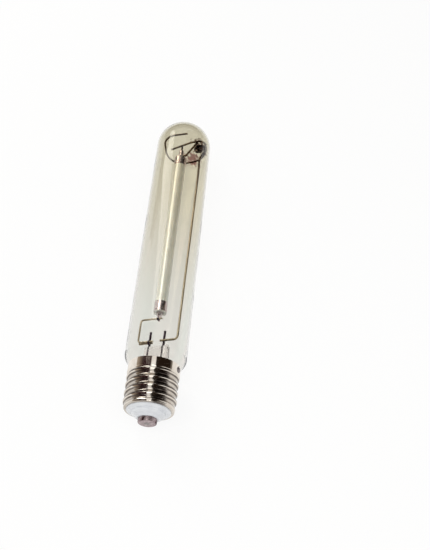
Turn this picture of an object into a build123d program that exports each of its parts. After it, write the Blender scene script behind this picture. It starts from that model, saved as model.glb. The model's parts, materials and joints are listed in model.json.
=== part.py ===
from build123d import *
import math
import os

# High pressure sodium lamp: clear tubular bulb, ceramic arc tube on a wire mount, E40 screw cap.
# The lamp lies on its bulb. Its axis is +Y, from the face of the centre contact at the origin
# to the top of the dome, and +Z is up. All sizes are millimetres.
# The wire mount is flat. It is drawn in the XY plane with +X towards the frame rod, and then
# turned about the lamp's axis. "Front" is the side of the mount that faces +Z.

# Bulb
OVERALL_LENGTH = 285.0
BULB_DIAMETER = 47.0
BULB_WALL = 1.2
NECK_LENGTH = 21.5
SHOULDER_SLOPE = 1.2
SHOULDER_INSIDE_CAP = 3.0
NECK_BEND = 6.0
SHOULDER_BEND = 9.0

# Screw cap, E40
THREAD_MAJOR = 39.4
THREAD_DEPTH = 1.9
THREAD_PITCH = 6.35
THREAD_LENGTH = 26.4
THREAD_CREST_LIFT = 4.2
THREAD_CREST_TURN = 120.0
THREAD_FADE = 2.5
SECTIONS_PER_TURN = 8
SHEET = 0.4
COLLAR_LENGTH = 7.1
COLLAR_STEP = 0.15
LIP_FACE = 9.6
LIP_HEIGHT = 1.4
LIP_FLARE = 0.8
LIP_WIDTH = 2.1
LIP_BEND = 0.9
LIP_EDGE = 0.12
SLOT_WIDTH = 1.0
SLOT_DEPTH = 4.0
CEMENT_THICKNESS = 2.86
CEMENT_SETBACK = 0.7

# Insulator and centre contact
INSULATOR_THICKNESS = 4.4
INSULATOR_PLAY = 0.2
INSULATOR_STEP_DIAMETER = 25.0
INSULATOR_STEP = 1.1
INSULATOR_BORE = 4.0
INSULATOR_RIM = 1.0
CONTACT_DIAMETER = 14.0
CONTACT_HEAD = 3.4
CONTACT_EDGE = 1.0
CONTACT_ROOT = 0.3
CONTACT_SHANK = 5.4
CONTACT_SHANK_WALL = 0.9
SOLDER_DIAMETER = 4.6
SOLDER_DEPTH = 1.2

# Glass stem
FLARE_LIP = 1.3
FLARE_LENGTH = 11.0
FLARE_BEND = 8.0
STEM_TUBE_DIAMETER = 20.6
STEM_WALL = 1.3
STEM_LENGTH = 24.0
PRESS_TAPER = 6.0
PRESS_LENGTH = 11.5
PRESS_THICKNESS = 7.0
EXHAUST_DIAMETER = 5.0
EXHAUST_WALL = 1.0
EXHAUST_LENGTH = 18.0
EXHAUST_PORT_LIFT = 3.0

# Wire mount: lengths along the lamp
MOUNT_TURN = 19.0
LEAD_DIAMETER = 1.8
LEAD_LEFT = -6.9
LEAD_RIGHT = 4.9
LEAD_INSIDE_STEM = 3.0
LEAD_REACH = 13.3
WELD_LIFT = 4.5
TUBE_LIFT = 16.7
DOME_TO_RING = 24.1
RING_TO_TUBE = 11.4

# Wire mount: bent wires, with their distance from the bulb's wall
BRACKET_WIRE = 1.4
BRACKET_TIP = -3.6
BRACKET_INSET = 6.3
BRACKET_REACH = 3.4
BRACKET_BEND = 2.2
FRAME_WIRE = 1.7
FRAME_TIP = 2.4
FRAME_FOOT_INSET = 6.0
FRAME_BOW_INSET = 4.7
FRAME_BOW_DROP = 23.5
FRAME_NECK_INSET = 5.2
FRAME_NECK_DROP = 5.0
HOOK_PLAY = 0.6
HOOK_BELOW_RING = 9.6
HOOK_TOP = 4.0
CROSSBAR_HOOK = 13.8
CROSSBAR_WIDTH = 18.0
CROSSBAR_DROP = 4.2
FRAME_BEND = 3.0
BOW_BEND = 40.0
HOOK_BEND = 4.5
HOOK_TOP_BEND = 7.0
CROSSBAR_BEND = 10.0
GUIDE_PIN_INSIDE = 8.0
GUIDE_PIN_HEAD = 2.0
STRAP_WIDTH = 2.4
STRAP_THICKNESS = 0.3
STRAP_TAB = 1.2
STRAP_OFFSET = 5.5
STRAP_FOOT = 3.2
STRAP_FOOT_LIFT = 1.0
STRAP_BEND = 1.0

# Spring ring in the dome: corners of the wire before it is bent, and its bends, from the bulb's bore
RING_WIRE = 1.6
RING_BOTTOM_INSET = 3.2
RING_LEFT_INSET = -0.3
RING_SHOULDER_INSET = 11.0
RING_TOP_INSET = 3.5
RING_TIP_INSET = 12.3
RING_TIP_DROP = 1.5
RING_BEND_INSET = 8.3

# Getter
GETTER_DIAMETER = 8.4
GETTER_HOLE = 2.0
GETTER_HEIGHT = 1.6
GETTER_SKIN = 0.3
GETTER_BELOW_RING = 5.2
GETTER_GAP = 0.3
HOLDER_WIRE = 0.8

# Arc tube
TUBE_ACROSS = -1.6
ARC_TUBE_DIAMETER = 10.0
ARC_TUBE_WALL = 0.75
PLUG_LENGTH = 6.0
FEEDTHROUGH_DIAMETER = 4.0
FEEDTHROUGH_WALL = 0.5
FEEDTHROUGH_INSIDE = 1.2
FEEDTHROUGH_REACH = 8.5
PINCH_REACH = 7.2
PINCH_LENGTH = 2.6
PINCH_TAPER = 2.0
PINCH_FLOOR = 1.0
SEAL_RING_DIAMETER = 6.4
SEAL_RING_HEIGHT = 0.8
BAND_LENGTH = 8.5
BAND_THICKNESS = 0.15
BAND_SETBACK = 0.4
ELECTRODE_DIAMETER = 1.2
ELECTRODE_LENGTH = 10.0
COIL_WIRE = 0.6
COIL_TURNS = 6
COIL_SETBACK = 1.4
PELLET_DIAMETER = 2.2

# Connecting wires and solder
CONTACT_WIRE = 0.9
CONTACT_WIRE_DROP = 14.0
CONTACT_WIRE_LIFT = 1.0
WIRE_BEND = 3.0
SHELL_WIRE = 0.5
SHELL_WIRE_DROP = 3.0
SHELL_WIRE_BEND = 0.7
SOLDER_BEAD_WIDTH = 4.8
SOLDER_BEAD_HEIGHT = 1.2

# Clearances
SEAL_GAP = 0.02
WELD_GAP = 0.02
SLIDE_GAP = 0.05
GUIDE_PLAY = 0.6

# Radii that follow from the sizes above
BULB_R = BULB_DIAMETER / 2
BULB_BORE_R = BULB_R - BULB_WALL
MAJOR_R = THREAD_MAJOR / 2
MINOR_R = MAJOR_R - THREAD_DEPTH
COLLAR_BORE_R = MAJOR_R - SHEET
NECK_R = COLLAR_BORE_R - CEMENT_THICKNESS - 2 * SEAL_GAP
LIP_R = MINOR_R + LIP_FLARE
LIP_BORE_R = LIP_R - LIP_WIDTH
CONTACT_R = CONTACT_DIAMETER / 2
CONTACT_SHANK_R = INSULATOR_BORE / 2 - SEAL_GAP
CONTACT_HOLE_R = CONTACT_SHANK_R - CONTACT_SHANK_WALL
STEM_R = STEM_TUBE_DIAMETER / 2
LEAD_R = LEAD_DIAMETER / 2
FRAME_R = FRAME_WIRE / 2
BRACKET_R = BRACKET_WIRE / 2
FEED_R = FEEDTHROUGH_DIAMETER / 2
FEED_BORE_R = FEED_R - FEEDTHROUGH_WALL
ARC_R = ARC_TUBE_DIAMETER / 2
ARC_BORE_R = ARC_R - ARC_TUBE_WALL
SHELL_WIRE_R = (NECK_R + MINOR_R - SHEET) / 2

# Places along the lamp: cap, neck and stem
THREAD_START = LIP_FACE + LIP_HEIGHT
THREAD_END = THREAD_START + THREAD_LENGTH
COLLAR_END = THREAD_END + COLLAR_LENGTH
SHELL_WIRE_EXIT = COLLAR_END - SLOT_DEPTH + SLOT_WIDTH / 2
INSULATOR_BACK = LIP_FACE + INSULATOR_THICKNESS
NECK_TOP = COLLAR_END - SHOULDER_INSIDE_CAP
NECK_END = NECK_TOP - NECK_LENGTH
SHOULDER_TOP = NECK_TOP + SHOULDER_SLOPE * (BULB_R - NECK_R)
PRESS_BOTTOM = NECK_END + STEM_LENGTH
PRESS_FLAT = PRESS_BOTTOM + PRESS_TAPER
PRESS_TOP = PRESS_FLAT + PRESS_LENGTH
LEAD_BOTTOM = PRESS_BOTTOM - LEAD_INSIDE_STEM
LEAD_TOP = PRESS_TOP + LEAD_REACH
WELD_ROW = PRESS_TOP + WELD_LIFT

# Places along the lamp: arc tube from the leads, and what the dome carries from the dome
ARC_TUBE_START = LEAD_TOP + TUBE_LIFT
PINCH_END = ARC_TUBE_START - PINCH_REACH
PINCH_TOP = PINCH_END + PINCH_LENGTH
FEED_FLOOR = PINCH_TOP + PINCH_TAPER + PINCH_FLOOR
BRACKET_HIGH = PINCH_END + PINCH_LENGTH / 2
RING_AT = OVERALL_LENGTH - DOME_TO_RING
ARC_TUBE_END = RING_AT - RING_TO_TUBE
FEEDTHROUGH_TOP = ARC_TUBE_END + FEEDTHROUGH_REACH

# Places across the mount and in front of it
FRAME_FRONT = LEAD_R + FRAME_R + WELD_GAP
BRACKET_FRONT = LEAD_R + BRACKET_R + WELD_GAP
HOOK_REACH = math.sqrt((BULB_BORE_R - HOOK_PLAY - FRAME_R) ** 2 - FRAME_FRONT ** 2)
HOOK_AT_RING = HOOK_REACH - HOOK_TOP_BEND + math.sqrt(HOOK_TOP_BEND ** 2 - (HOOK_TOP_BEND - HOOK_TOP) ** 2)
CROSSBAR_START = HOOK_REACH - CROSSBAR_HOOK
CROSSBAR_TIP = CROSSBAR_START - CROSSBAR_WIDTH
CROSSBAR_SLOPE = CROSSBAR_DROP / CROSSBAR_WIDTH


def revolved(*outline):
    """Solid turned about the lamp's axis from straight (radius, along) corners."""
    return revolve(make_face(Polyline(*outline, close=True)), axis=Axis.Y)


def tube(outer_radius, inner_radius, start, end):
    """Straight tube on the lamp's axis."""
    return revolved((inner_radius, start), (outer_radius, start), (outer_radius, end), (inner_radius, end))


def rod(radius, across, front, start, end):
    """Straight round rod parallel to the lamp's axis."""
    plane = Plane(origin=(across, start, front), z_dir=(0, 1, 0))
    return extrude(plane * Circle(radius), amount=end - start)


def wire_along(path, radius):
    """Round wire swept along a path."""
    return sweep(Plane(origin=path @ 0, z_dir=path % 0) * Circle(radius), path=path)


def bent_wire(points, bends, radius, front=0.0):
    """Wire bent in a plane parallel to the mount, with one bend radius for each corner."""
    path = FilletPolyline(*[(across, along, front) for across, along in points], radius=bends)
    return wire_along(path, radius)


def turned(solid):
    """Solid of the mount, turned to the mount's place about the lamp's axis."""
    return solid.rotate(Axis.Y, -MOUNT_TURN)


def on_tube_axis(solid):
    """Solid drawn about the lamp's axis, moved across the mount to the arc tube's axis."""
    return solid.move(Location((TUBE_ACROSS, 0, 0)))


def bulb_body(inset):
    """Solid of revolution inside the bulb's outline, set in by a wall."""
    neck = NECK_R - inset
    side = BULB_R - inset
    dome_centre = OVERALL_LENGTH - BULB_R
    foot = FilletPolyline(
        (neck, NECK_END), (neck, NECK_TOP), (side, SHOULDER_TOP), (side, dome_centre),
        radius=[NECK_BEND + inset, SHOULDER_BEND - inset])
    dome = RadiusArc((side, dome_centre), (0, dome_centre + side), -side)
    close = Polyline((0, dome_centre + side), (0, NECK_END), (neck, NECK_END))
    return revolve(make_face(foot + dome + close), axis=Axis.Y)


def make_outer_bulb():
    """Blown tube with a round dome, a shoulder and an open neck."""
    return bulb_body(0) - bulb_body(BULB_WALL)


def thread_section(along, inset):
    """Cross-section of the right-hand knuckle thread: a circle whose centre runs round the axis."""
    fade = min(1, (along - THREAD_START) / THREAD_FADE, (THREAD_END - along) / THREAD_FADE)
    end_radius = LIP_R if along < (THREAD_START + THREAD_END) / 2 else MAJOR_R - COLLAR_STEP
    middle = (MAJOR_R + MINOR_R) / 2
    offset = fade * (MAJOR_R - MINOR_R) / 2
    radius = end_radius + fade * (middle - end_radius) - inset
    risen = along - THREAD_START - THREAD_CREST_LIFT
    turn = math.radians(THREAD_CREST_TURN) - 2 * math.pi * risen / THREAD_PITCH
    centre = (offset * math.cos(turn), along, offset * math.sin(turn))
    return Wire.make_circle(radius, Plane(origin=centre, x_dir=(1, 0, 0), z_dir=(0, 1, 0)))


def thread_wall(inset):
    """Faces of one side of the threaded wall."""
    count = round((THREAD_END - THREAD_START) / THREAD_PITCH * SECTIONS_PER_TURN)
    step = (THREAD_END - THREAD_START) / count
    sections = [thread_section(THREAD_START + step * index, inset) for index in range(count + 1)]
    return Shell.make_loft(sections).faces()


def make_cap_shell():
    """Rolled sheet cap: lip at the insulator, helical knuckle thread and a plain collar."""
    run_out_r = MAJOR_R - COLLAR_STEP
    lip_in = LIP_FACE + SHEET
    lip_outline = FilletPolyline(
        (LIP_R, THREAD_START), (LIP_R, LIP_FACE), (LIP_BORE_R, LIP_FACE), (LIP_BORE_R, lip_in),
        (LIP_R - SHEET, lip_in), (LIP_R - SHEET, THREAD_START),
        radius=[LIP_BEND, LIP_EDGE, LIP_EDGE, LIP_BEND - SHEET])
    collar_outline = Polyline(
        (run_out_r, THREAD_END), (MAJOR_R, THREAD_END + COLLAR_STEP), (MAJOR_R, COLLAR_END),
        (COLLAR_BORE_R, COLLAR_END), (COLLAR_BORE_R, THREAD_END + COLLAR_STEP),
        (run_out_r - SHEET, THREAD_END))
    faces = thread_wall(0) + thread_wall(SHEET)
    for outline in (lip_outline, collar_outline):
        faces += Shell.revolve(outline, 360, Axis.Y).faces()
    shell = Solid(Shell(faces))
    slot = Box(2 * SHEET, SLOT_DEPTH, SLOT_WIDTH)
    return shell - slot.move(Location((MAJOR_R - SHEET / 2, COLLAR_END - SLOT_DEPTH / 2, 0)))


def make_cap_insulator():
    """Ceramic disc held by the lip, with concentric steps up to the contact."""
    lip_bore = LIP_BORE_R - SLIDE_GAP
    flange_r = MINOR_R - SHEET - INSULATOR_PLAY
    step_r = INSULATOR_STEP_DIAMETER / 2
    step = INSULATOR_STEP
    rim = LIP_FACE - step / 2
    nose_r = CONTACT_R + INSULATOR_RIM
    face = CONTACT_HEAD + SEAL_GAP
    seat = LIP_FACE + SHEET + SEAL_GAP
    return revolved(
        (INSULATOR_BORE / 2, INSULATOR_BACK), (INSULATOR_BORE / 2, face), (nose_r, face),
        (nose_r + step, face + step), (step_r - step, rim - 3 * step), (step_r, rim - 2 * step),
        (step_r, rim - step), (lip_bore - step, rim - step / 2), (lip_bore, rim), (lip_bore, seat),
        (flange_r, seat), (flange_r, INSULATOR_BACK))


def make_contact_plate():
    """Turned contact: a round head and a hollow shank in the insulator's bore."""
    pocket = SOLDER_DIAMETER / 2
    shank_end = CONTACT_HEAD + CONTACT_SHANK
    outline = FilletPolyline(
        (pocket, 0), (CONTACT_R, 0), (CONTACT_R, CONTACT_HEAD), (CONTACT_SHANK_R, CONTACT_HEAD),
        radius=[CONTACT_EDGE, CONTACT_ROOT])
    back = Polyline(
        (CONTACT_SHANK_R, CONTACT_HEAD), (CONTACT_SHANK_R, shank_end), (CONTACT_HOLE_R, shank_end),
        (CONTACT_HOLE_R, SOLDER_DEPTH), (pocket, 0))
    return revolve(make_face(outline + back), axis=Axis.Y)


def make_contact_solder():
    """Solder that fills the contact's pocket round the wire."""
    return revolved((0, 0), (SOLDER_DIAMETER / 2, 0), (CONTACT_HOLE_R, SOLDER_DEPTH), (0, SOLDER_DEPTH))


def make_stem_press():
    """Glass stem: flared tube sealed to the neck, closed by a flat press round the leads."""
    bore = STEM_R - STEM_WALL
    mouth = NECK_R - BULB_WALL - SLIDE_GAP
    foot = NECK_END - FLARE_LIP
    flare_top = NECK_END + FLARE_LENGTH
    outer_side = FilletPolyline(
        (mouth, NECK_END), (STEM_R, flare_top), (STEM_R, PRESS_BOTTOM), radius=FLARE_BEND)
    inner_side = FilletPolyline(
        (mouth - STEM_WALL, foot), (bore, flare_top - STEM_WALL), (bore, PRESS_BOTTOM),
        radius=FLARE_BEND + STEM_WALL)
    lip = Polyline((mouth, NECK_END), (NECK_R, NECK_END), (NECK_R, foot), (mouth - STEM_WALL, foot))
    flare = revolve(
        make_face(outer_side + inner_side + lip + Line((STEM_R, PRESS_BOTTOM), (bore, PRESS_BOTTOM))),
        axis=Axis.Y)
    round_end = Plane(origin=(0, PRESS_BOTTOM, 0), x_dir=(1, 0, 0), z_dir=(0, 1, 0))
    flat_end = Plane(origin=(0, PRESS_FLAT, 0), x_dir=(1, 0, 0), z_dir=(0, 1, 0))
    press_shape = SlotOverall(STEM_TUBE_DIAMETER, PRESS_THICKNESS)
    squeeze = loft([round_end * Circle(STEM_R), flat_end * press_shape])
    press = flare + squeeze + extrude(flat_end * press_shape, amount=PRESS_TOP - PRESS_FLAT)
    for across in (LEAD_LEFT, LEAD_RIGHT):
        press -= rod(LEAD_R + SEAL_GAP, across, 0, LEAD_BOTTOM, LEAD_TOP)
    port_r = EXHAUST_DIAMETER / 2 - EXHAUST_WALL
    port_end = PRESS_FLAT + EXHAUST_PORT_LIFT
    press -= rod(port_r, 0, 0, PRESS_BOTTOM, port_end)
    side_port = Plane(origin=(0, port_end - port_r, 0)) * Circle(port_r)
    return press - extrude(side_port, amount=PRESS_THICKNESS)


def make_exhaust_tube():
    """Pump tube under the press, drawn off to a closed round tip."""
    outer = EXHAUST_DIAMETER / 2
    inner = outer - EXHAUST_WALL
    start = PRESS_BOTTOM - EXHAUST_LENGTH + outer
    place = Location((0, start, 0))
    skin = rod(outer, 0, 0, start, PRESS_BOTTOM - SEAL_GAP) + Sphere(outer).move(place)
    return skin - rod(inner, 0, 0, start, PRESS_BOTTOM) - Sphere(inner).move(place)


def make_lower_bracket_wire():
    """Wire from the contact's lead round to the lower feedthrough."""
    side = BRACKET_INSET - BULB_BORE_R
    points = [
        (BRACKET_TIP, WELD_ROW), (side, WELD_ROW), (side, BRACKET_HIGH),
        (TUBE_ACROSS + BRACKET_REACH, BRACKET_HIGH)]
    return bent_wire(points, [BRACKET_BEND, BRACKET_BEND], BRACKET_R, BRACKET_FRONT)


def make_frame_rod():
    """Rod from the shell's lead up the bulb, round the hook and across the dome."""
    points = [
        (FRAME_TIP, WELD_ROW),
        (BULB_BORE_R - FRAME_FOOT_INSET, WELD_ROW),
        (BULB_BORE_R - FRAME_BOW_INSET, ARC_TUBE_END - FRAME_BOW_DROP),
        (BULB_BORE_R - FRAME_NECK_INSET, ARC_TUBE_END - FRAME_NECK_DROP),
        (HOOK_REACH, RING_AT - HOOK_BELOW_RING),
        (HOOK_REACH, RING_AT + HOOK_TOP),
        (CROSSBAR_START, RING_AT + HOOK_TOP),
        (CROSSBAR_TIP, crossbar_height(CROSSBAR_TIP))]
    bends = [FRAME_BEND, BOW_BEND, HOOK_BEND, HOOK_BEND, HOOK_TOP_BEND, CROSSBAR_BEND]
    return bent_wire(points, bends, FRAME_R, FRAME_FRONT)


def make_dome_spring_ring():
    """Open ring, a little out of round, butted on the back of the hook to keep the mount central."""
    bottom = RING_BOTTOM_INSET - BULB_BORE_R
    top = BULB_BORE_R - RING_TOP_INSET
    corners = [
        (HOOK_AT_RING, FRAME_FRONT - FRAME_R - WELD_GAP), (HOOK_AT_RING, bottom),
        (RING_LEFT_INSET - BULB_BORE_R, bottom), (RING_SHOULDER_INSET - BULB_BORE_R, top),
        (BULB_BORE_R - RING_TIP_INSET, top - RING_TIP_DROP)]
    plane = Plane(origin=(0, RING_AT, 0), x_dir=(1, 0, 0), z_dir=(0, -1, 0))
    side_bend = BULB_BORE_R - RING_BEND_INSET
    path = plane * FilletPolyline(*corners, radius=[-bottom, side_bend, side_bend])
    return wire_along(path, RING_WIRE / 2)


def crossbar_height(across):
    """Distance along the lamp's axis of the crossbar's sloping stretch."""
    return RING_AT + HOOK_TOP + CROSSBAR_SLOPE * (across - CROSSBAR_START)


def make_upper_guide_pin():
    """Pin welded behind the crossbar, on which the upper feedthrough slides as the tube grows."""
    radius = FEED_BORE_R - GUIDE_PLAY
    front = FRAME_FRONT - FRAME_R - radius - WELD_GAP
    top = crossbar_height(TUBE_ACROSS) + GUIDE_PIN_HEAD
    return rod(radius, TUBE_ACROSS, front, FEEDTHROUGH_TOP - GUIDE_PIN_INSIDE, top)


def make_current_strap():
    """Thin strap that carries the current from the crossbar to the side of the upper feedthrough."""
    under_bar = RING_AT + HOOK_TOP - FRAME_R - STRAP_THICKNESS / 2 - WELD_GAP
    top = CROSSBAR_START + STRAP_OFFSET
    side = TUBE_ACROSS + FEED_R + WELD_GAP
    foot = ARC_TUBE_END + SEAL_RING_HEIGHT + STRAP_FOOT_LIFT
    path = FilletPolyline(
        (top + STRAP_TAB, under_bar), (top, under_bar), (side + STRAP_FOOT, foot), (side, foot),
        radius=STRAP_BEND)
    start = path % 0
    section = Plane(origin=path @ 0, x_dir=(0, 0, 1), z_dir=start) * Rectangle(STRAP_WIDTH, STRAP_THICKNESS)
    return sweep(section, path=path).move(Location((0, 0, FRAME_FRONT / 2)))


def getter_centre():
    """Centre of the getter ring, a small gap inside the hook."""
    return HOOK_REACH - FRAME_R - GETTER_GAP - GETTER_DIAMETER / 2, RING_AT - GETTER_BELOW_RING


def make_getter_ring():
    """Ring channel that faces the front and held the getter metal."""
    across, along = getter_centre()
    back = FRAME_FRONT - FRAME_R
    place = Plane(origin=(across, along, back))
    outer = GETTER_DIAMETER / 2
    hole = GETTER_HOLE / 2
    ring = extrude(place * (Circle(outer) - Circle(hole)), amount=GETTER_HEIGHT)
    groove = Circle(outer - GETTER_SKIN) - Circle(hole + GETTER_SKIN)
    return ring - extrude(place.offset(GETTER_SKIN) * groove, amount=GETTER_HEIGHT)


def make_getter_holder():
    """Short wire behind the ring and the hook, welded to both."""
    across, along = getter_centre()
    front = FRAME_FRONT - FRAME_R - HOLDER_WIRE / 2 - WELD_GAP
    start = (across - GETTER_DIAMETER / 2, along, front)
    return wire_along(Line(start, (HOOK_REACH + FRAME_R, along, front)), HOLDER_WIRE / 2)


def arc_tube_end(end, outward):
    """Pieces at one end of the arc tube, drawn about the lamp's axis.

    Outward is -1 at the cap's end and 1 at the dome's.
    """
    inner = FEED_R + SEAL_GAP
    plug_in = end - outward * PLUG_LENGTH
    feed_in = plug_in - outward * FEEDTHROUGH_INSIDE
    tip = feed_in - outward * ELECTRODE_LENGTH
    coil_end = tip + outward * COIL_SETBACK
    band_bore = ARC_R + SEAL_GAP
    band_end = end - outward * BAND_SETBACK
    electrode_r = ELECTRODE_DIAMETER / 2
    face = feed_in + outward * FEEDTHROUGH_WALL
    shank = feed_in - outward * WELD_GAP
    pieces = {
        "end_plug": tube(ARC_BORE_R - SEAL_GAP, inner, end, plug_in),
        "seal_ring": revolved(
            (inner, end + outward * SEAL_GAP), (SEAL_RING_DIAMETER / 2, end + outward * SEAL_GAP),
            (inner, end + outward * SEAL_RING_HEIGHT)),
        "heat_band": tube(
            band_bore + BAND_THICKNESS, band_bore, band_end, band_end - outward * BAND_LENGTH),
        "electrode_rod": tube(electrode_r, 0, shank, tip),
        "electrode_coil": make_coil(coil_end, outward)}
    return pieces, feed_in, face


def make_coil(start, outward):
    """Close-wound wire on an electrode rod, drawn as a sleeve with one rounded rib for each turn."""
    inner = ELECTRODE_DIAMETER / 2 + SEAL_GAP
    ribs = Polyline((inner + COIL_WIRE / 2, start), (inner, start))
    ribs += Line((inner, start), (inner, start + outward * COIL_TURNS * COIL_WIRE))
    last = start + outward * COIL_TURNS * COIL_WIRE
    ribs += Line((inner, last), (inner + COIL_WIRE / 2, last))
    for turn in range(COIL_TURNS):
        foot = start + outward * turn * COIL_WIRE
        middle = foot + outward * COIL_WIRE / 2
        ribs += ThreePointArc(
            (inner + COIL_WIRE / 2, foot), (inner + COIL_WIRE, middle),
            (inner + COIL_WIRE / 2, foot + outward * COIL_WIRE))
    return revolve(make_face(ribs), axis=Axis.Y)


def make_lower_feedthrough(feed_in, face):
    """Niobium tube closed by a pinch as thick as a lead, so that the flat bracket meets both."""
    body = revolved(
        (0, PINCH_END), (LEAD_R, PINCH_END), (LEAD_R, PINCH_TOP), (FEED_R, PINCH_TOP + PINCH_TAPER),
        (FEED_R, feed_in), (0, feed_in))
    return body - tube(FEED_BORE_R, 0, FEED_FLOOR, face)


def make_upper_feedthrough(feed_in, face):
    """Niobium tube, open at the top for the guide pin and closed at the electrode."""
    cup = tube(FEED_R, 0, feed_in, FEEDTHROUGH_TOP)
    return cup - tube(FEED_BORE_R, 0, face, FEEDTHROUGH_TOP)


def make_contact_wire():
    """Wire from the left lead to the centre contact."""
    path = FilletPolyline(
        (LEAD_LEFT, LEAD_BOTTOM - WELD_GAP, 0), (LEAD_LEFT, LEAD_BOTTOM - CONTACT_WIRE_DROP, 0),
        (0, INSULATOR_BACK + CONTACT_WIRE_LIFT, 0), (0, SOLDER_DEPTH + WELD_GAP, 0), radius=WIRE_BEND)
    return wire_along(path, CONTACT_WIRE / 2)


def shell_wire_path():
    """Route from the right lead, round the neck's end and out through the collar's slot."""
    turn_at = NECK_END - SHELL_WIRE_DROP
    return FilletPolyline(
        (LEAD_RIGHT, LEAD_BOTTOM - WELD_GAP, 0), (LEAD_RIGHT, turn_at, 0),
        (SHELL_WIRE_R, turn_at, 0), (SHELL_WIRE_R, SHELL_WIRE_EXIT, 0),
        (MAJOR_R + SOLDER_BEAD_HEIGHT / 2, SHELL_WIRE_EXIT, 0), radius=SHELL_WIRE_BEND)


def make_collar_solder(shell_wire):
    """Solder bead over the slot, where the shell wire comes out."""
    half = SOLDER_BEAD_WIDTH / 2
    radius = (half ** 2 + SOLDER_BEAD_HEIGHT ** 2) / (2 * SOLDER_BEAD_HEIGHT)
    centre = (MAJOR_R + SOLDER_BEAD_HEIGHT - radius, SHELL_WIRE_EXIT, 0)
    bead = Sphere(radius).move(Location(centre))
    return bead - rod(MAJOR_R + SEAL_GAP, 0, 0, THREAD_END, SHOULDER_TOP) - shell_wire


def make_cap_cement():
    """Cement between the collar and the neck, with a way through for the shell wire."""
    start = THREAD_END + CEMENT_SETBACK
    ring = rod(COLLAR_BORE_R - SEAL_GAP, 0, 0, start, COLLAR_END - CEMENT_SETBACK)
    return ring - bulb_body(-SEAL_GAP) - wire_along(shell_wire_path(), SHELL_WIRE / 2 + SLIDE_GAP)


def make_amalgam_pellet():
    """Sodium and mercury dose in the cool end of the lower feedthrough."""
    radius = PELLET_DIAMETER / 2
    return Sphere(radius).move(Location((0, FEED_FLOOR + radius, 0)))


def make_parts():
    """Every piece of the lamp by name; the mount's pieces are turned to their place."""
    lower, lower_in, lower_face = arc_tube_end(ARC_TUBE_START, -1)
    upper, upper_in, upper_face = arc_tube_end(ARC_TUBE_END, 1)
    shell_wire = wire_along(shell_wire_path(), SHELL_WIRE / 2)
    parts = {
        "outer_bulb": make_outer_bulb(),
        "cap_shell": make_cap_shell(),
        "cap_insulator": make_cap_insulator(),
        "cap_cement": make_cap_cement(),
        "contact_plate": make_contact_plate(),
        "contact_solder": make_contact_solder(),
        "contact_wire": make_contact_wire(),
        "shell_wire": shell_wire,
        "collar_solder": make_collar_solder(shell_wire),
        "stem_press": make_stem_press(),
        "exhaust_tube": make_exhaust_tube(),
        "lead_rod_contact_side": rod(LEAD_R, LEAD_LEFT, 0, LEAD_BOTTOM, LEAD_TOP),
        "lead_rod_shell_side": rod(LEAD_R, LEAD_RIGHT, 0, LEAD_BOTTOM, LEAD_TOP),
        "lower_bracket_wire": make_lower_bracket_wire(),
        "frame_rod": make_frame_rod(),
        "dome_spring_ring": make_dome_spring_ring(),
        "upper_guide_pin": make_upper_guide_pin(),
        "current_strap": make_current_strap(),
        "getter_ring": make_getter_ring(),
        "getter_holder": make_getter_holder(),
        "arc_tube_body": on_tube_axis(tube(ARC_R, ARC_BORE_R, ARC_TUBE_START, ARC_TUBE_END)),
        "lower_feedthrough_tube": on_tube_axis(make_lower_feedthrough(lower_in, lower_face)),
        "upper_feedthrough_tube": on_tube_axis(make_upper_feedthrough(upper_in, upper_face)),
        "amalgam_pellet": on_tube_axis(make_amalgam_pellet())}
    for place, pieces in (("lower", lower), ("upper", upper)):
        for name, piece in pieces.items():
            parts[f"{place}_{name}"] = on_tube_axis(piece)
    return {name: turned(part) for name, part in parts.items()}


def main():
    os.makedirs("parts", exist_ok=True)
    for name, part in make_parts().items():
        export_step(part, f"parts/{name}.step")


main()
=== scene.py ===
import json
import math

import bmesh
import bpy
from mathutils import Matrix, Vector


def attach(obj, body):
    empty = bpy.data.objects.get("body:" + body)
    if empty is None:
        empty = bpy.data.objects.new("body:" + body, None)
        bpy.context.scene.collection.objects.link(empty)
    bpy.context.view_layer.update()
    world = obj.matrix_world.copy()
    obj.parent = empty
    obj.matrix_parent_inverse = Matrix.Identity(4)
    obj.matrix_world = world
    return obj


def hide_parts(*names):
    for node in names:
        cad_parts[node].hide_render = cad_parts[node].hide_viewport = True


# High pressure sodium lamp lying on a white table, seen from above its cap.
# The lamp's axis is +Y from the centre contact at the origin to the dome, and +Z is up.
# Sizes of the lamp are in millimetres and become metres with MM.

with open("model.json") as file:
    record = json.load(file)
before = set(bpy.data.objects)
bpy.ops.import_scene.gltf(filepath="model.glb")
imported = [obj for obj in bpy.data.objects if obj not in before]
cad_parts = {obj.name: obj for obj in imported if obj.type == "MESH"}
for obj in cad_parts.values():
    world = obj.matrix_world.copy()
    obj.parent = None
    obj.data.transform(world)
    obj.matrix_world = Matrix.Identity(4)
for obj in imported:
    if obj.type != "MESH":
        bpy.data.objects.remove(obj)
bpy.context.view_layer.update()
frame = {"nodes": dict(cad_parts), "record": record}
cad = frame["nodes"]
MM = 0.001

# Bulb, as in the CAD source
LAMP_LENGTH = 285.0
BULB_R = 23.5
NECK_R = 16.4
BULB_WALL = 1.2
NECK_END = 20.0
NECK_TOP = 41.5
SHOULDER_SLOPE = 1.2
NECK_BEND = 6.0
SHOULDER_BEND = 9.0

# Cap, as in the CAD source: the crest passes its lift above the thread's start at its turn from +X
CAP_MINOR_R = 17.8
THREAD_PITCH = 6.35
THREAD_START = 11.0
THREAD_END = 37.4
THREAD_CREST_LIFT = 4.2
THREAD_CREST_TURN = 120.0

# Painted shade lines beyond and before each thread crest, dark lines that stand in for the dark
# surroundings mirrored in the thread, in parts of a pitch towards the dome:
# where a line starts, is full, starts to fade and has ended
PAINTED_SHADE_BEYOND_CREST = (0.0, 0.06, 0.32, 0.42)
PAINTED_SHADE_BEFORE_CREST = (0.70, 0.77, 0.86, 0.92)

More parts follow.
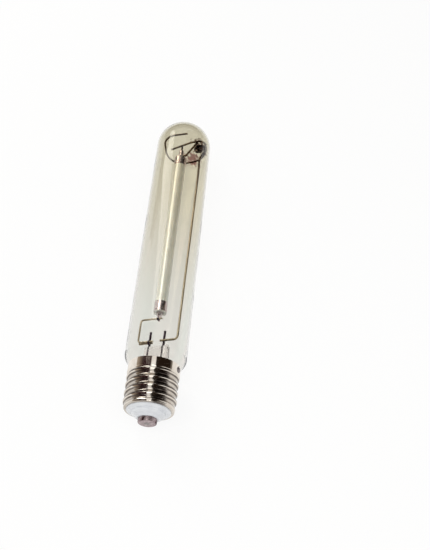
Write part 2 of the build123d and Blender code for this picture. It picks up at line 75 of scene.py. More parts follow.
# Films that the getter left on the bulb in front of the hook: the thin one and the thick one
THIN_FILM_PLACE = (11.6, 232.5, 20.4)
THIN_FILM_R = 9.0
THICK_FILM_PLACE = (17.2, 250.0, 16.0)
THICK_FILM_R = 9.5

# Wire mount, as in the CAD source: its turn about the lamp's axis, and places across it and along the lamp
MOUNT_TURN = 19.0
LEAD_LEFT = -6.9
LEAD_RIGHT = 4.9
LEAD_R = 0.9
TUBE_ACROSS = -1.6
WELD_ROW = 66.0
BRACKET_HIGH = 85.6
STRAP_FOOT_ACROSS = 0.5
STRAP_FOOT_ALONG = 251.3
STRAP_TOP_ACROSS = 13.0
RING_AT = 260.9
HOOK_SIDE = 20.6
CROSSBAR_AT_PIN = 262.9
CROSSBAR_TOP = 264.9
BEAD_LIFT = 0.3

# Camera, at the photograph's viewing angle
CAMERA_PLACE = (0.0657, -0.2136, 0.5354)
CAMERA_TILT = 32.77
CAMERA_TURN = 4.535
CAMERA_LENS = 52.03
CAMERA_SENSOR = 36.0

# Dark cards: their distance from the lamp's axis, in metres, and the edges of the bright strip
# between them, in degrees from straight up towards +X
CARD_DISTANCE = 0.35
STRIP_LEFT = -9
STRIP_RIGHT = 10.5

# Light from the white table and the white room
TABLE_GLOW = 0.88
ROOM_LIGHT = 0.62


# shapes


def rounded(corners, bends, steps=10):
    """Corner points with each inner corner replaced by an arc of its bend radius."""
    points = [Vector(corners[0])]
    for before, corner, after, bend in zip(corners, corners[1:], corners[2:], bends):
        corner = Vector(corner)
        back = (Vector(before) - corner).normalized()
        on = (Vector(after) - corner).normalized()
        half = back.angle(on) / 2
        reach = bend / math.tan(half)
        centre = corner + (back + on).normalized() * (bend / math.sin(half))
        start = corner + back * reach - centre
        end = corner + on * reach - centre
        turn = start.angle_signed(end)
        for step in range(steps + 1):
            points.append(centre + Matrix.Rotation(-turn * step / steps, 2) @ start)
    points.append(Vector(corners[-1]))
    return points


def finished_object(name, mesh, slot, *stands_for):
    """Object at the origin that rides on the lamp and takes the place of its CAD nodes."""
    thing = bpy.data.objects.new(name, mesh)
    bpy.context.scene.collection.objects.link(thing)
    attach(thing, "root")
    if stands_for:
        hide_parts(*stands_for)
    return thing


def smooth_by_angle(work, angle):
    """Smooth faces with a hard edge wherever the surface turns by more than the angle."""
    for face in work.faces:
        face.smooth = True
    for edge in work.edges:
        edge.smooth = not edge.is_manifold or edge.calc_face_angle(0) < math.radians(angle)


def lathe_mesh(name, outline, segments):
    """Closed mesh turned about the lamp's axis from a closed outline of (radius, along) in mm."""
    work = bmesh.new()
    rings = []
    for radius, along in outline:
        if radius < 1e-6:
            rings.append([work.verts.new((0, along * MM, 0))] * segments)
            continue
        turns = [2 * math.pi * index / segments for index in range(segments)]
        rings.append([
            work.verts.new((radius * MM * math.cos(turn), along * MM, radius * MM * math.sin(turn)))
            for turn in turns])
    for near, far in zip(rings, rings[1:] + rings[:1]):
        for index in range(segments):
            following = (index + 1) % segments
            corners = []
            for vertex in (near[index], near[following], far[following], far[index]):
                if vertex not in corners:
                    corners.append(vertex)
            if len(corners) > 2:
                work.faces.new(corners)
    bmesh.ops.recalc_face_normals(work, faces=work.faces)
    smooth_by_angle(work, 35)
    mesh = bpy.data.meshes.new(name)
    work.to_mesh(mesh)
    work.free()
    return mesh


def bulb_side(inset):
    """Outline of one side of the bulb's wall, from the neck's end to the top of the dome."""
    neck = NECK_R - inset
    side = BULB_R - inset
    shoulder = NECK_TOP + SHOULDER_SLOPE * (BULB_R - NECK_R)
    dome_centre = LAMP_LENGTH - BULB_R
    foot = rounded(
        [(neck, NECK_END), (neck, NECK_TOP), (side, shoulder), (side, dome_centre)],
        [NECK_BEND + inset, SHOULDER_BEND - inset])
    dome = [
        (side * math.cos(math.radians(turn)), dome_centre + side * math.sin(math.radians(turn)))
        for turn in range(3, 90, 3)]
    return [tuple(point) for point in foot] + dome + [(0.0, dome_centre + side)]


def make_bulb():
    """Blown glass tube with its wall."""
    outline = bulb_side(0) + bulb_side(BULB_WALL)[::-1]
    mesh = lathe_mesh("blown_bulb", outline, 144)
    return finished_object("blown_bulb", mesh, "bulb_glass", "outer_bulb")


def make_smooth_copy(node, name, slot, angle=32):
    """Merged copy of a CAD node with smooth faces and true hard edges."""
    work = bmesh.new()
    work.from_mesh(cad[node].data)
    bmesh.ops.remove_doubles(work, verts=work.verts, dist=0.002 * MM)
    smooth_by_angle(work, angle)
    mesh = bpy.data.meshes.new(name)
    work.to_mesh(mesh)
    work.free()
    return finished_object(name, mesh, slot, node)


def make_bead_tree():
    """Geometry nodes that set an uneven round bead on every point of a mesh."""
    tree = bpy.data.node_groups.new("weld_bead_row", "GeometryNodeTree")
    for label, kind, value in (
            ("Points", "Geometry", None), ("Bead Radius", "Float", 0.8 * MM),
            ("Lump Height", "Float", 0.2 * MM), ("Lump Scale", "Float", 900.0),
            ("Size Seed", "Int", 4), ("Finish", "Material", None)):
        socket = tree.interface.new_socket(label, in_out="INPUT", socket_type=f"NodeSocket{kind}")
        if value is not None:
            socket.default_value = value
    tree.interface.new_socket("Beads", in_out="OUTPUT", socket_type="NodeSocketGeometry")
    given = tree.nodes.new("NodeGroupInput").outputs
    add = tree.nodes.new
    link = tree.links.new
    ball = add("GeometryNodeMeshIcoSphere")
    ball.inputs["Subdivisions"].default_value = 4
    link(given["Bead Radius"], ball.inputs["Radius"])
    size = add("FunctionNodeRandomValue")
    next(s for s in size.inputs if s.name == "Min" and s.enabled).default_value = 0.8
    next(s for s in size.inputs if s.name == "Max" and s.enabled).default_value = 1.15
    link(given["Size Seed"], size.inputs["Seed"])
    spread = add("GeometryNodeInstanceOnPoints")
    link(given["Points"], spread.inputs["Points"])
    link(ball.outputs["Mesh"], spread.inputs["Instance"])
    link(next(s for s in size.outputs if s.enabled), spread.inputs["Scale"])
    real = add("GeometryNodeRealizeInstances")
    link(spread.outputs["Instances"], real.inputs["Geometry"])
    lumps = add("ShaderNodeTexNoise")
    link(given["Lump Scale"], lumps.inputs["Scale"])
    height = add("ShaderNodeMath")
    height.operation = "MULTIPLY"
    link(lumps.outputs["Fac"], height.inputs[0])
    link(given["Lump Height"], height.inputs[1])
    push = add("ShaderNodeVectorMath")
    push.operation = "SCALE"
    link(add("GeometryNodeInputNormal").outputs["Normal"], push.inputs["Vector"])
    link(height.outputs[0], push.inputs["Scale"])
    shape = add("GeometryNodeSetPosition")
    link(real.outputs["Geometry"], shape.inputs["Geometry"])
    link(push.outputs["Vector"], shape.inputs["Offset"])
    smooth = add("GeometryNodeSetShadeSmooth")
    link(shape.outputs["Geometry"], smooth.inputs["Geometry"])
    finish = add("GeometryNodeSetMaterial")
    link(smooth.outputs["Geometry"], finish.inputs["Geometry"])
    link(given["Finish"], finish.inputs["Material"])
    link(finish.outputs["Geometry"], add("NodeGroupOutput").inputs["Beads"])
    return tree


def on_mount(across, front, along):
    """Point of the wire mount, in metres, with the mount turned about the lamp's axis."""
    turn = math.radians(MOUNT_TURN)
    rail = Vector((math.cos(turn), 0, math.sin(turn)))
    facing = Vector((-math.sin(turn), 0, math.cos(turn)))
    return (rail * across + facing * front + Vector((0, along, 0))) * MM


def make_weld_beads(name, places, radius, seed, slot, finish):
    """Spot welds of the wire mount as one mesh, a bead at each place."""
    points = bpy.data.meshes.new(name + "_places")
    points.from_pydata([on_mount(*place) for place in places], [], [])
    carrier = bpy.data.objects.new(name + "_places", points)
    bpy.context.scene.collection.objects.link(carrier)
    modifier = carrier.modifiers.new("beads", "NODES")
    modifier.node_group = bpy.data.node_groups.get("weld_bead_row") or make_bead_tree()
    sockets = {item.name: item.identifier for item in modifier.node_group.interface.items_tree}
    modifier[sockets["Bead Radius"]] = radius * MM
    modifier[sockets["Size Seed"]] = seed
    modifier[sockets["Finish"]] = finish
    evaluated = carrier.evaluated_get(bpy.context.evaluated_depsgraph_get())
    mesh = bpy.data.meshes.new_from_object(evaluated)
    carrier.modifiers.remove(modifier)
    bpy.data.objects.remove(carrier)
    bpy.data.meshes.remove(points)
    mesh.name = name
    return finished_object(name, mesh, slot), slot


# shared shader groups


def new_group(name, inputs, outputs):
    """Empty shader node group with named sockets."""
    tree = bpy.data.node_groups.new(name, "ShaderNodeTree")
    for direction, sockets in (("INPUT", inputs), ("OUTPUT", outputs)):
        for label, kind, value in sockets:
            socket = tree.interface.new_socket(label, in_out=direction, socket_type=f"NodeSocket{kind}")
            if value is not None:
                socket.default_value = value
    return tree, tree.nodes.new("NodeGroupInput"), tree.nodes.new("NodeGroupOutput")


def add_node(tree, kind, settings=None, **values):
    """Node with its settings and its input values; a value may be another node's socket."""
    node = tree.nodes.new(f"ShaderNode{kind}")
    for name, value in (settings or {}).items():
        setattr(node, name, value)
    for name, value in values.items():
        set_input(tree, node, name.replace("_", " "), value)
    return node


def set_input(tree, node, name, value):
    """Sets or links one input, found by its name among those that are shown."""
    socket = next(s for s in node.inputs if s.name == name and s.enabled)
    if isinstance(value, bpy.types.NodeSocket):
        tree.links.new(value, socket)
    else:
        socket.default_value = value


def out(node, name):
    """Output socket by name among those that are shown."""
    return next(s for s in node.outputs if s.name == name and s.enabled)


def mix_colour(tree, share, low, high):
    """Colour between low and high."""
    node = add_node(tree, "Mix", {"data_type": "RGBA"}, Factor=share, A=low, B=high)
    return out(node, "Result")


def mapped(tree, value, low, high, to_low=0.0, to_high=1.0, smooth=False):
    """Value mapped from one range to another and kept inside it."""
    node = add_node(
        tree, "MapRange", {"interpolation_type": "SMOOTHSTEP" if smooth else "LINEAR"},
        Value=value, From_Min=low, From_Max=high, To_Min=to_low, To_Max=to_high)
    return out(node, "Result")


def band(tree, value, edges, most=1.0):
    """Share that rises between the first two edges and falls again between the last two."""
    start, full, fading, end = edges
    rise = mapped(tree, value, start, full, 0.0, most, smooth=True)
    fall = mapped(tree, value, end, fading, 0.0, most, smooth=True)
    return math_node(tree, "MINIMUM", rise, fall)


def math_node(tree, operation, *values):
    """Result of one Math node."""
    node = tree.nodes.new("ShaderNodeMath")
    node.operation = operation
    for socket, value in zip(node.inputs, values):
        if isinstance(value, bpy.types.NodeSocket):
            tree.links.new(value, socket)
        else:
            socket.default_value = value
    return node.outputs[0]


def make_surface_grain():
    """Uneven finish: two colours and two roughnesses mixed by stretched noise, with its height."""
    tree, given, result = new_group(
        "surface_grain",
        [("Coordinates", "Vector", None), ("Stretch", "Vector", (1, 1, 1)), ("Scale", "Float", 200.0),
         ("Low Colour", "Color", (0.5, 0.5, 0.5, 1)), ("High Colour", "Color", (0.6, 0.6, 0.6, 1)),
         ("Low Roughness", "Float", 0.2), ("High Roughness", "Float", 0.4)],
        [("Colour", "Color", None), ("Roughness", "Float", None), ("Height", "Float", None)])
    stretched = add_node(tree, "VectorMath", {"operation": "MULTIPLY"})
    tree.links.new(out(given, "Coordinates"), stretched.inputs[0])
    tree.links.new(out(given, "Stretch"), stretched.inputs[1])
    coarse = add_node(tree, "TexNoise", Vector=stretched.outputs[0], Scale=out(given, "Scale"), Detail=5.0)
    share = mapped(tree, out(coarse, "Fac"), 0.32, 0.68, smooth=True)
    fine_scale = math_node(tree, "MULTIPLY", out(given, "Scale"), 5.0)
    fine = add_node(tree, "TexNoise", Vector=stretched.outputs[0], Scale=fine_scale, Detail=3.0)
    colour = mix_colour(tree, share, out(given, "Low Colour"), out(given, "High Colour"))
    tree.links.new(colour, result.inputs["Colour"])
    rough = mapped(
        tree, out(fine, "Fac"), 0.3, 0.7, out(given, "Low Roughness"), out(given, "High Roughness"))
    tree.links.new(rough, result.inputs["Roughness"])
    height = math_node(tree, "ADD", out(coarse, "Fac"), math_node(tree, "MULTIPLY", out(fine, "Fac"), 0.3))
    tree.links.new(height, result.inputs["Height"])
    return tree


SURFACE_GRAIN = make_surface_grain()


# finishes


class Finish:
    """Material with one Principled shader, its Object coordinates and helpers to feed it."""

    def __init__(self, name):
        self.material = bpy.data.materials.new(name)
        self.material.use_nodes = True
        self.tree = self.material.node_tree
        self.tree.nodes.clear()
        self.shader = self.tree.nodes.new("ShaderNodeBsdfPrincipled")
        self.output = self.tree.nodes.new("ShaderNodeOutputMaterial")
        self.tree.links.new(self.shader.outputs[0], self.output.inputs["Surface"])
        self.place = out(self.tree.nodes.new("ShaderNodeTexCoord"), "Object")

    def set(self, **values):
        """Sets the shader's inputs."""
        for name, value in values.items():
            set_input(self.tree, self.shader, name.replace("_", " "), value)

    def grain(self, low, high, rough=(0.2, 0.4), scale=300.0, stretch=(1, 1, 1)):
        """Shared surface grain with this finish's own colours and roughnesses."""
        node = self.tree.nodes.new("ShaderNodeGroup")
        node.node_tree = SURFACE_GRAIN
        for name, value in (
                ("Coordinates", self.place), ("Stretch", stretch), ("Scale", scale),
                ("Low Colour", (*low, 1)), ("High Colour", (*high, 1)),
                ("Low Roughness", rough[0]), ("High Roughness", rough[1])):
            set_input(self.tree, node, name, value)
        return node

    def bump(self, height, strength, distance):
        """Relief from a height, over a distance in mm."""
        node = add_node(self.tree, "Bump", Height=height, Strength=strength, Distance=distance * MM)
        set_input(self.tree, self.shader, "Normal", out(node, "Normal"))

    def distance_from_axis(self):
        """Distance from the lamp's axis."""
        parts = add_node(self.tree, "SeparateXYZ", Vector=self.place)
        across = math_node(self.tree, "POWER", out(parts, "X"), 2.0)
        upward = math_node(self.tree, "POWER", out(parts, "Z"), 2.0)
        return math_node(self.tree, "SQRT", math_node(self.tree, "ADD", across, upward))

    def along(self):
        """Distance along the lamp from its centre contact."""
        return out(add_node(self.tree, "SeparateXYZ", Vector=self.place), "Y")


def grained(
        name, low, high, rough, metal=1.0, scale=300.0, stretch=(1, 1, 1), bump=0.2, depth=0.02, **values):
    """Finish with uneven colour, roughness and relief."""
    finish = Finish(name)
    grain = finish.grain(low, high, rough, scale, stretch)
    finish.set(Base_Color=out(grain, "Colour"), Roughness=out(grain, "Roughness"), Metallic=metal, **values)
    finish.bump(out(grain, "Height"), bump, depth)
    return finish.material


def bulb_glass():
    """Clear hard glass, warm towards the dome, with soft ripples, darker edges and the getter's films."""
    finish = Finish("bulb_glass")
    tree = finish.tree
    warm = mapped(tree, finish.along(), 60 * MM, 250 * MM, smooth=True)
    stretched = add_node(tree, "Mapping", Vector=finish.place, Scale=(60, 7, 60))
    streaks = add_node(tree, "TexNoise", Vector=stretched.outputs[0], Scale=1.0, Detail=1.0)
    share = mapped(tree, out(streaks, "Fac"), 0.35, 0.65, smooth=True)
    clear = mix_colour(tree, share, (0.855, 0.865, 0.835, 1), (0.885, 0.860, 0.835, 1))
    tint = mix_colour(tree, warm, clear, (0.775, 0.745, 0.645, 1))
    rim = add_node(tree, "LayerWeight", Blend=0.25)
    dome = mapped(tree, finish.along(), 258 * MM, 272 * MM, 0.0, 0.7, smooth=True)
    dome_rim = math_node(tree, "MULTIPLY", out(rim, "Facing"), dome)
    tint = mix_colour(tree, dome_rim, tint, (0.42, 0.41, 0.32, 1))
    tube = mapped(tree, finish.along(), 262 * MM, 240 * MM, 0.0, 0.8, smooth=True)
    tube_rim = math_node(tree, "MULTIPLY", mapped(tree, out(rim, "Facing"), 0.45, 0.75, smooth=True), tube)
    tint = mix_colour(tree, tube_rim, tint, (0.40, 0.40, 0.38, 1))
    tint = add_film(finish, tint, THIN_FILM_PLACE, THIN_FILM_R, (0.28, 0.15, 0.14, 1))
    tint = add_film(finish, tint, THICK_FILM_PLACE, THICK_FILM_R, (0.10, 0.06, 0.042, 1))
    ripple = add_node(tree, "TexNoise", Vector=finish.place, Scale=42.0, Detail=1.0)
    finish.set(
        Base_Color=tint, Roughness=0.0, IOR=1.48, Transmission_Weight=1.0,
        Specular_Tint=(0.18, 0.18, 0.18, 1))
    finish.bump(out(ripple, "Fac"), 0.12, 1.0)
    let_lamps_through(finish, (0.96, 0.955, 0.93, 1))
    return finish.material


def add_film(finish, tint, place, radius, colour):
    """Glass tint with a patchy round film of getter metal over it."""
    tree = finish.tree
    away = add_node(tree, "VectorMath", {"operation": "DISTANCE"})
    tree.links.new(finish.place, away.inputs[0])
    away.inputs[1].default_value = [value * MM for value in place]
    cloud = add_node(tree, "TexNoise", Vector=finish.place, Scale=330.0, Detail=3.0)
    uneven = mapped(tree, out(cloud, "Fac"), 0.25, 0.75, -0.7 * radius * MM, 0.7 * radius * MM)
    edge = math_node(tree, "ADD", away.outputs["Value"], uneven)
    film = mapped(tree, edge, radius * MM, 0.3 * radius * MM, 0.0, 0.95, smooth=True)
    return mix_colour(tree, film, tint, colour)


def stem_glass():
    """Pressed glass of the stem, slightly rippled."""
    finish = Finish("stem_glass")
    ripple = add_node(finish.tree, "TexNoise", Vector=finish.place, Scale=260.0, Detail=2.0)
    tint = mix_colour(finish.tree, out(ripple, "Fac"), (0.93, 0.88, 0.86, 1), (0.97, 0.95, 0.93, 1))
    finish.set(Base_Color=tint, Roughness=0.02, IOR=1.5, Transmission_Weight=1.0)
    finish.bump(out(ripple, "Fac"), 0.35, 0.5)
    let_lamps_through(finish, (0.9, 0.88, 0.86, 1))
    return finish.material


def let_lamps_through(finish, tint):
    """Lets the lamps' light pass glass, so that what is inside is lit."""
    tree = finish.tree
    clear = add_node(tree, "BsdfTransparent", Color=tint)
    rays = tree.nodes.new("ShaderNodeLightPath")
    mix = tree.nodes.new("ShaderNodeMixShader")
    tree.links.new(out(rays, "Is Shadow Ray"), mix.inputs[0])
    tree.links.new(finish.shader.outputs[0], mix.inputs[1])
    tree.links.new(clear.outputs[0], mix.inputs[2])
    tree.links.new(mix.outputs[0], finish.output.inputs["Surface"])


def cap_metal():
    """Bright nickel plate, softly dented, with painted shade in the thread."""
    finish = Finish("cap_metal")
    tree = finish.tree
    grain = finish.grain((0.70, 0.63, 0.55), (0.84, 0.78, 0.70), (0.06, 0.14), 170.0, (1, 0.5, 1))
    # Painted shade in the thread: a near-black colour and a little more roughness.
    painted_shade = painted_thread_shade(finish)
    colour = mix_colour(tree, painted_shade, out(grain, "Colour"), (0.03, 0.017, 0.014, 1))
    rough = math_node(tree, "ADD", out(grain, "Roughness"), math_node(tree, "MULTIPLY", painted_shade, 0.12))
    finish.set(Base_Color=colour, Roughness=rough, Metallic=1.0)
    dents = add_node(tree, "TexNoise", Vector=finish.place, Scale=75.0, Detail=2.0)
    height = math_node(
        tree, "ADD", out(dents, "Fac"), math_node(tree, "MULTIPLY", out(grain, "Height"), 0.12))
    finish.bump(height, 0.3, 0.25)
    return finish.material


def painted_thread_shade(finish):
    """Patchy share of painted shade: lines beside each thread crest, kept faint near the top where the
    overhead highlight falls, and the deep grooves, darkest a little to the +X side of the top.
    """
    tree = finish.tree
    parts = add_node(tree, "SeparateXYZ", Vector=finish.place)
    angle = math_node(tree, "ARCTAN2", out(parts, "Z"), out(parts, "X"))
    risen = math_node(tree, "DIVIDE", finish.along(), THREAD_PITCH * MM)
    turns = math_node(tree, "ADD", risen, math_node(tree, "DIVIDE", angle, 2 * math.pi))
    crest = (THREAD_START + THREAD_CREST_LIFT) / THREAD_PITCH + THREAD_CREST_TURN / 360
    phase = math_node(tree, "FRACT", math_node(tree, "SUBTRACT", turns, crest))
    line = math_node(
        tree, "MAXIMUM", band(tree, phase, PAINTED_SHADE_BEYOND_CREST), band(tree, phase, PAINTED_SHADE_BEFORE_CREST, 0.85))
    # The painted shade lines fade within about 12 degrees of the top, where the overhead strip's highlight
    # falls.
    off_strip = math_node(tree, "ABSOLUTE", math_node(tree, "SUBTRACT", angle, math.radians(87)))
    fade_under_highlight = mapped(tree, off_strip, math.radians(8), math.radians(16), 0.15, 1.0, smooth=True)
    first = mapped(tree, finish.along(), (THREAD_START + 0.5) * MM, (THREAD_START + 2) * MM)
    last = mapped(tree, finish.along(), (THREAD_END - 0.5) * MM, (THREAD_END - 2) * MM)
    line = math_node(tree, "MULTIPLY", line, math_node(tree, "MINIMUM", first, last))
    beside_crest = math_node(tree, "MULTIPLY", line, fade_under_highlight)
    # Painted shade in the deep grooves, strongest between 54 and 72 degrees from +X, the side that mirrors
    # the dark card.
    deep = mapped(
        tree, finish.distance_from_axis(), (CAP_MINOR_R + 1.1) * MM, (CAP_MINOR_R + 0.35) * MM, smooth=True)
    below_strip = mapped(tree, angle, math.radians(82), math.radians(72), 0.35, 0.95, smooth=True)
    above_side = mapped(tree, angle, math.radians(36), math.radians(54), 0.25, 0.95, smooth=True)
    painted_groove_shade = math_node(tree, "MULTIPLY", deep, math_node(tree, "MINIMUM", below_strip, above_side))
    patches = add_node(tree, "TexNoise", Vector=finish.place, Scale=160.0, Detail=3.0)
    share = mapped(tree, out(patches, "Fac"), 0.35, 0.55, 0.8, 1.0, smooth=True)
    return math_node(tree, "MULTIPLY", share, math_node(tree, "MAXIMUM", beside_crest, painted_groove_shade))


def contact_metal():
    """Worn plate with dark spots round its side."""
    finish = Finish("contact_metal")
    tree = finish.tree
    grain = finish.grain((0.30, 0.23, 0.24), (0.50, 0.41, 0.41), (0.28, 0.48), 500.0)
    spots = add_node(tree, "TexNoise", Vector=finish.place, Scale=260.0, Detail=1.0)
    spot = mapped(tree, out(spots, "Fac"), 0.50, 0.58, smooth=True)
    side = mapped(tree, finish.distance_from_axis(), 5.9 * MM, 6.7 * MM, smooth=True)
    share = math_node(tree, "MULTIPLY", spot, side)
    finish.set(
        Base_Color=mix_colour(tree, share, out(grain, "Colour"), (0.05, 0.012, 0.018, 1)),
        Roughness=out(grain, "Roughness"), Metallic=1.0)
    finish.bump(out(grain, "Height"), 0.4, 0.08)
    return finish.material


def arc_ceramic():
    """Translucent sintered alumina with a satin skin."""
    finish = Finish("arc_ceramic")
    grain = finish.grain((0.86, 0.845, 0.77), (0.93, 0.915, 0.85), (0.22, 0.30), 120.0, (1, 0.3, 1))
    finish.set(
        Base_Color=out(grain, "Colour"), Roughness=out(grain, "Roughness"), IOR=1.77,
        Subsurface_Weight=0.25, Subsurface_Radius=(1.0, 0.8, 0.6), Subsurface_Scale=1.5 * MM,
        Coat_Weight=1.0, Coat_Roughness=0.2, Coat_IOR=2.0)
    finish.bump(out(grain, "Height"), 0.1, 0.05)
    return finish.material


def wire_metal():
    """Drawn nickel-plated wire, straw-coloured along the arc tube and burnt dark in the dome."""
    finish = Finish("wire_metal")
    tree = finish.tree
    grain = finish.grain((0.36, 0.30, 0.21), (0.54, 0.46, 0.34), (0.25, 0.42), 260.0, (1, 0.15, 1))
    patchy = add_node(tree, "TexNoise", Vector=finish.place, Scale=130.0, Detail=2.0)
    place = math_node(tree, "ADD", finish.along(), mapped(tree, out(patchy, "Fac"), 0, 1, -8 * MM, 8 * MM))
    burnt = mapped(tree, place, 165 * MM, 252 * MM, 0.0, 0.92, smooth=True)
    colour = mix_colour(tree, burnt, out(grain, "Colour"), (0.085, 0.055, 0.036, 1))
    finish.set(Base_Color=colour, Roughness=out(grain, "Roughness"), Metallic=1.0)
    finish.bump(out(grain, "Height"), 0.25, 0.03)
    return finish.material


def make_finishes():
    """Every finish by the name of its material slot."""
    return {
        "bulb_glass": bulb_glass(),
        "stem_glass": stem_glass(),
        "cap_metal": cap_metal(),
        "arc_ceramic": arc_ceramic(),
        "ceramic_white": grained(
            "ceramic_white", (0.75, 0.77, 0.81), (0.85, 0.87, 0.90), (0.25, 0.4), 0.0, 140.0, bump=0.15,
            depth=0.08, Coat_Weight=0.3, Coat_Roughness=0.1),
        "contact_metal": contact_metal(),
        "solder": grained(
            "solder", (0.20, 0.17, 0.17), (0.42, 0.38, 0.37), (0.35, 0.55), scale=700.0, bump=0.7,
            depth=0.15),
        "wire_metal": wire_metal(),
        "lead_metal": grained(
            "lead_metal", (0.030, 0.018, 0.032), (0.085, 0.060, 0.075), (0.30, 0.5), scale=420.0,
            stretch=(1, 0.3, 1), bump=0.5, depth=0.05),
        "getter_metal": grained(
            "getter_metal", (0.05, 0.04, 0.035), (0.12, 0.09, 0.08), (0.35, 0.6), scale=600.0, bump=0.5,
            depth=0.05),
        "seal_frit": grained(
            "seal_frit", (0.34, 0.28, 0.27), (0.46, 0.40, 0.38), (0.3, 0.5), 0.0, 500.0, bump=0.4,
            depth=0.05),
        "niobium": grained(
            "niobium", (0.52, 0.42, 0.43), (0.74, 0.64, 0.65), (0.16, 0.32), scale=350.0,
            stretch=(1, 0.3, 1), bump=0.3, depth=0.03),
        "tungsten": grained(
            "tungsten", (0.20, 0.19, 0.18), (0.32, 0.31, 0.30), (0.35, 0.55), scale=600.0, bump=0.4,
            depth=0.03),
        "amalgam": grained(
            "amalgam", (0.55, 0.55, 0.55), (0.72, 0.72, 0.72), (0.08, 0.2), scale=500.0, bump=0.2,
            depth=0.03),
        "cement": grained(
            "cement", (0.60, 0.54, 0.44), (0.76, 0.70, 0.58), (0.7, 0.9), 0.0, 400.0, bump=0.8, depth=0.2),
    }


# lamp

# CAD nodes that are seen, with the names of their smooth copies
SMOOTHED = {
    "cap_shell": "screw_shell", "cap_insulator": "ceramic_disc", "contact_plate": "contact_button",
    "contact_solder": "contact_solder_spot", "collar_solder": "collar_solder_bead",
    "stem_press": "pressed_stem", "exhaust_tube": "pump_stem",
    "lead_rod_contact_side": "lead_to_contact", "lead_rod_shell_side": "lead_to_shell",
    "lower_bracket_wire": "bracket_wire", "frame_rod": "bent_frame_rod", "dome_spring_ring": "spring_ring",
    "upper_guide_pin": "guide_pin", "current_strap": "strap", "getter_ring": "getter_channel",
    "getter_holder": "getter_wire", "arc_tube_body": "alumina_tube",
    "lower_feedthrough_tube": "lower_niobium_tube", "upper_feedthrough_tube": "upper_niobium_tube",
    "lower_heat_band": "lower_band", "upper_heat_band": "upper_band",
    "lower_seal_ring": "lower_frit", "upper_seal_ring": "upper_frit"}


def dress_lamp():
    """Makes the bulb, smooths what is seen and gives every piece its finish."""
    slot_of = {entry["node"]: entry["material_slot"] for entry in frame["record"]["subparts"]}
    finishes = make_finishes()
    pieces = [(make_bulb(), "bulb_glass")]
    for node, name in SMOOTHED.items():
        pieces.append((make_smooth_copy(node, name, slot_of[node]), slot_of[node]))
    for node, thing in cad.items():
        pieces.append((thing, slot_of[node]))
    over_lead = LEAD_R + BEAD_LIFT
    pieces.append(make_weld_beads(
        "lead_welds", [
            (LEAD_LEFT, over_lead, WELD_ROW), (LEAD_RIGHT, over_lead, WELD_ROW),
            (TUBE_ACROSS, over_lead, BRACKET_HIGH)],
        1.15, 4, "lead_metal", finishes["lead_metal"]))
    pieces.append(make_weld_beads(
        "dome_welds", [
            (STRAP_FOOT_ACROSS, over_lead, STRAP_FOOT_ALONG), (STRAP_TOP_ACROSS, over_lead, CROSSBAR_TOP),
            (TUBE_ACROSS, over_lead, CROSSBAR_AT_PIN), (HOOK_SIDE, LEAD_R, RING_AT)],
        0.85, 7, "wire_metal", finishes["wire_metal"]))
    for thing, slot in pieces:
        thing.data.materials.clear()
        thing.data.materials.append(finishes[slot])


# table, light and camera


def add_plane(name, corners, material):
    """Flat stage surface."""
    mesh = bpy.data.meshes.new(name)
    mesh.from_pydata(corners, [], [tuple(range(len(corners)))])
    thing = bpy.data.objects.new(name, mesh)
    bpy.context.scene.collection.objects.link(thing)
    mesh.materials.append(material)
    return thing


def seen_white(tree, rays):
    """1 for camera, mirror and glass rays, which see the white table as it is."""
    seen = math_node(tree, "MAXIMUM", out(rays, "Is Camera Ray"), out(rays, "Is Glossy Ray"))
    return math_node(tree, "MAXIMUM", seen, out(rays, "Is Transmission Ray"))


def table_finish():
    """White table that keeps a soft part of the lamp's shadow."""
    finish = Finish("white_table")
    tree = finish.tree
    finish.set(Base_Color=(0.93, 0.93, 0.92, 1), Roughness=0.8, Specular_IOR_Level=0.1)
    glow = add_node(tree, "Emission", Color=(1, 1, 1, 1), Strength=1.0)
    rays = tree.nodes.new("ShaderNodeLightPath")
    mix = tree.nodes.new("ShaderNodeMixShader")
    tree.links.new(math_node(tree, "MULTIPLY", seen_white(tree, rays), TABLE_GLOW), mix.inputs[0])
    tree.links.new(finish.shader.outputs[0], mix.inputs[1])
    tree.links.new(glow.outputs[0], mix.inputs[2])
    tree.links.new(mix.outputs[0], finish.output.inputs["Surface"])
    return finish.material


def add_table():
    """Table that the bulb lies on."""
    floor = -BULB_R * MM
    reach = 4.0
    corners = ((-reach, -reach), (reach, -reach), (reach, reach), (-reach, reach))
    add_plane("table", [(across, along, floor) for across, along in corners], table_finish())


def add_dark_card(name, near, fade, far, ends, dark, pale):
    """Card bent round the lamp's axis that only mirrors show, as a studio uses it for bright metal.

    It reaches from near to far, in degrees from straight up towards +X, and turns pale from fade on.
    """
    finish = Finish(name)
    tree = finish.tree
    parts = add_node(tree, "SeparateXYZ", Vector=finish.place)
    turn = math_node(tree, "ARCTAN2", out(parts, "X"), out(parts, "Z"))
    share = mapped(tree, turn, math.radians(fade), math.radians(far), smooth=True)
    glow = add_node(tree, "Emission", Color=mix_colour(tree, share, (*dark, 1), (*pale, 1)), Strength=1.0)
    tree.links.new(glow.outputs[0], finish.output.inputs["Surface"])
    steps = 24
    turns = [math.radians(near + (far - near) * step / steps) for step in range(steps + 1)]
    rows = [
        [(CARD_DISTANCE * math.sin(turn), along, CARD_DISTANCE * math.cos(turn)) for turn in turns]
        for along in ends]
    mesh = bpy.data.meshes.new(name)
    faces = [(step, step + 1, step + steps + 2, step + steps + 1) for step in range(steps)]
    mesh.from_pydata(rows[0] + rows[1], [], faces)
    card = bpy.data.objects.new(name, mesh)
    bpy.context.scene.collection.objects.link(card)
    mesh.materials.append(finish.material)
    hide_from_camera(card)


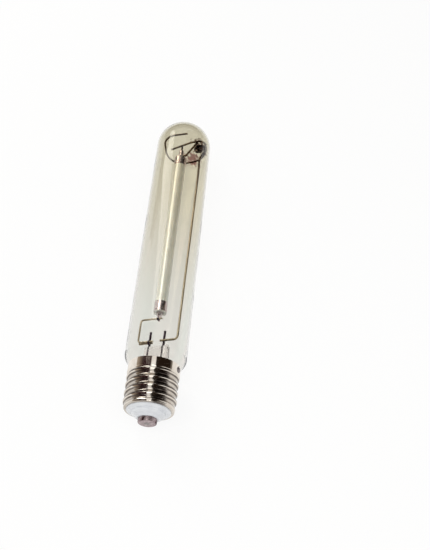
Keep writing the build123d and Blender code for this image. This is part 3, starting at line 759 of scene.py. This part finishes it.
def add_back_card():
    """Dark card that stands on the table behind the dome, for the thread's far slopes."""
    finish = Finish("dark_card_back")
    glow = add_node(finish.tree, "Emission", Color=(0.035, 0.02, 0.018, 1), Strength=1.0)
    finish.tree.links.new(glow.outputs[0], finish.output.inputs["Surface"])
    foot = -BULB_R * MM
    reach, distance, height = 1.2, 0.95, 0.40
    corners = ((-reach, foot), (reach, foot), (reach, height), (-reach, height))
    hide_from_camera(add_plane(
        "dark_card_back", [(across, distance, upward) for across, upward in corners], finish.material))


def hide_from_camera(card):
    """Leaves a card to mirrors and glass alone."""
    card.visible_camera = False
    card.visible_diffuse = False
    card.visible_shadow = False


def add_softbox(name, aim, direction, distance, size, watts, colour):
    """Rectangular lamp that faces a point on the lamp's axis."""
    aim = Vector((0, aim, 0))
    place = aim + Vector(direction).normalized() * distance
    light = bpy.data.lights.new(name, "AREA")
    light.shape = "RECTANGLE"
    light.size, light.size_y = size
    light.energy = watts
    light.color = colour
    lamp = bpy.data.objects.new(name, light)
    lamp.location = place
    lamp.rotation_euler = (place - aim).to_track_quat("Z", "Y").to_euler()
    lamp.visible_camera = False
    bpy.context.scene.collection.objects.link(lamp)


def add_world():
    """Even white surroundings, white where the camera, mirrors and glass meet them."""
    world = bpy.data.worlds.new("white_room")
    bpy.context.scene.world = world
    world.use_nodes = True
    tree = world.node_tree
    tree.nodes.clear()
    rays = tree.nodes.new("ShaderNodeLightPath")
    strength = mapped(tree, seen_white(tree, rays), 0, 1, ROOM_LIGHT, 1.0)
    back = add_node(tree, "Background", Color=(1, 1, 1, 1), Strength=strength)
    output = tree.nodes.new("ShaderNodeOutputWorld")
    tree.links.new(back.outputs[0], output.inputs["Surface"])


def add_camera():
    """Camera at the photograph's viewing angle."""
    camera = bpy.data.objects.new("camera", bpy.data.cameras.new("camera"))
    camera.data.lens = CAMERA_LENS
    camera.data.sensor_width = CAMERA_SENSOR
    camera.location = CAMERA_PLACE
    camera.rotation_euler = (math.radians(CAMERA_TILT), 0, math.radians(CAMERA_TURN))
    camera.data.clip_start = 0.01
    bpy.context.scene.collection.objects.link(camera)
    bpy.context.scene.camera = camera


def light_scene():
    """White table and room, cards for the metal's dark bands, and two lamps for its highlights.

    The right card has a gap in its middle, which the thread's crests mirror as pale lines.
    """
    add_table()
    add_world()
    dark, dim = (0.020, 0.012, 0.008), (0.30, 0.27, 0.24)
    add_dark_card("dark_card_right", STRIP_RIGHT, 72, 86, (0.12, 0.62), dark, dim)
    add_dark_card("dark_card_right_front", STRIP_RIGHT, 72, 86, (-0.8, -0.12), dark, dim)
    add_dark_card("dark_card_right_middle", STRIP_RIGHT, 26, 52, (-0.12, 0.12), dark, (0.95, 0.93, 0.90))
    add_dark_card(
        "dark_card_left", STRIP_LEFT, -42, -76, (-0.6, 0.24), (0.035, 0.013, 0.014), (0.40, 0.33, 0.26))
    add_back_card()
    add_softbox("overhead_strip", -0.15, (0.02, 0, 1.0), 0.6, (0.22, 0.8), 1.4, (1.0, 0.99, 0.95))
    add_softbox("left_window", 0.20, (-0.50, 0.56, 0.62), 1.0, (0.25, 1.0), 3.5, (1.0, 0.97, 0.90))
    bpy.context.scene.view_settings.view_transform = "Standard"


dress_lamp()
light_scene()
add_camera()
